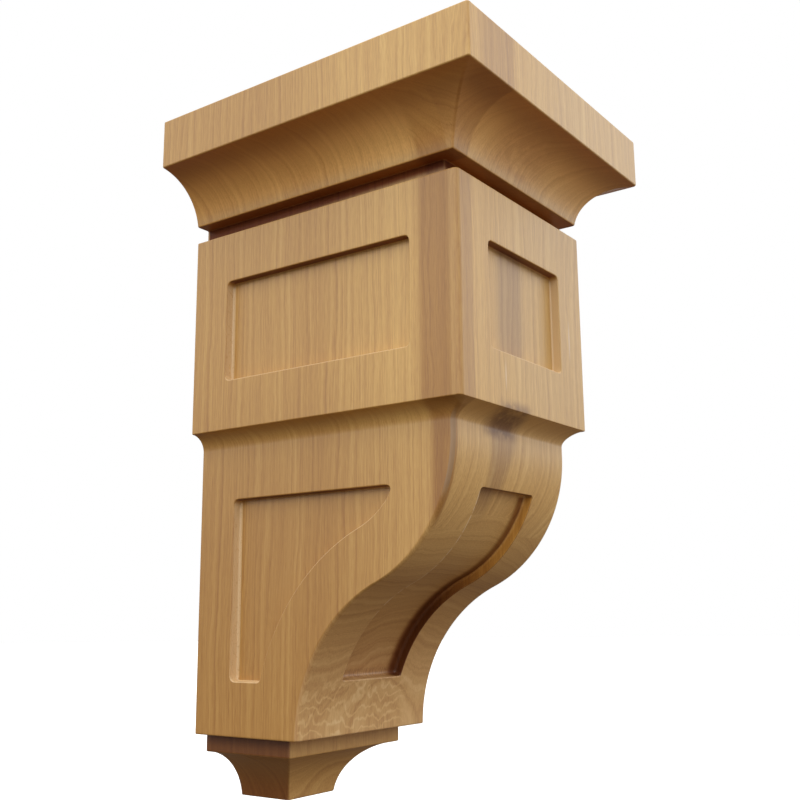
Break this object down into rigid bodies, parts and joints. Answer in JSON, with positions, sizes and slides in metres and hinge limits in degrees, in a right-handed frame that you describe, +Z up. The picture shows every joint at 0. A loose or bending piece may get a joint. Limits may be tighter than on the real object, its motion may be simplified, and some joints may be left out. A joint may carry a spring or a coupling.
{
  "type": "corbel bracket",
  "caption": "Carved wooden wall corbel: square cap over a cove, sunk-panel block, S-curved lower part with sunk panels, and a small coved drop. Flat back and flat top.",
  "frame": {"origin": "middle of the flat back, on the wall plane, at half of the corbel's height", "axes": "+Z up, +Y out of the flat back into the wall, +X to the right seen from the front"},
  "size_m": [0.1778, 0.1942, 0.3556],
  "materials": {
    "wood": "satin clear finish on fine straight-grained wood"
  },
  "bodies": {
    "root": {"carved_corbel": "wood"}
  },
  "joints": []
}
